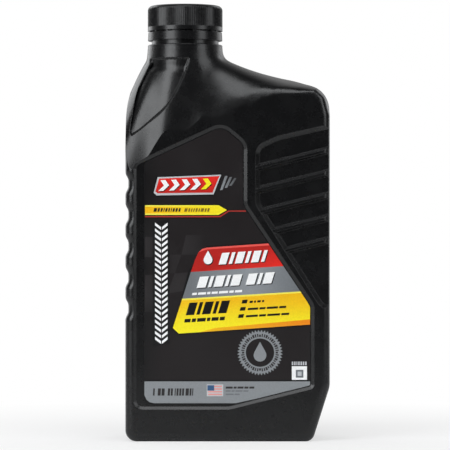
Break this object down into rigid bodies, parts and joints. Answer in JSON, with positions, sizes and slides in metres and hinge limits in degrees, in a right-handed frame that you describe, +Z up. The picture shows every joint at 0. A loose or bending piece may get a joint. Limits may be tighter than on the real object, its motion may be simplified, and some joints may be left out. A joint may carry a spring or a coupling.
{
  "type": "motor oil bottle",
  "caption": "Flat-sided blow-moulded quart bottle with an off-centre screw neck, ribbed cap, tamper band, side hand hold, finger grips and recessed labels.",
  "frame": {"origin": "centre of the bottle's outline at the level it stands on", "axes": "+Z up through the neck, front label facing -Y, hand hold towards +X"},
  "size_m": [0.1098, 0.052, 0.2354],
  "materials": {
    "bottle_plastic": "satin",
    "cap_plastic": "satin",
    "seal_foam": "matte",
    "label_film": "satin"
  },
  "bodies": {
    "bottle": {"bottle": "bottle_plastic", "tamper_band": "cap_plastic", "front_label": "label_film", "back_label": "label_film"},
    "seal": {"seal_disc": "seal_foam"},
    "cap": {"screw_cap": "cap_plastic"}
  },
  "joints": [
    {"name": "cap_lift", "type": "slide", "parent": "bottle", "child": "seal", "axis": [0, 0, 1], "range_m": [0, 0.0159]},
    {"name": "cap_turn", "type": "hinge", "parent": "seal", "child": "cap", "pos_m": [-0.0231, 0, 0.2216], "axis": [0, 0, 1], "range_deg": [0, 1350]}
  ],
  "couplings": [
    {"joint": "cap_lift", "follows": "cap_turn", "m_per_rad": 0.00067375}
  ]
}
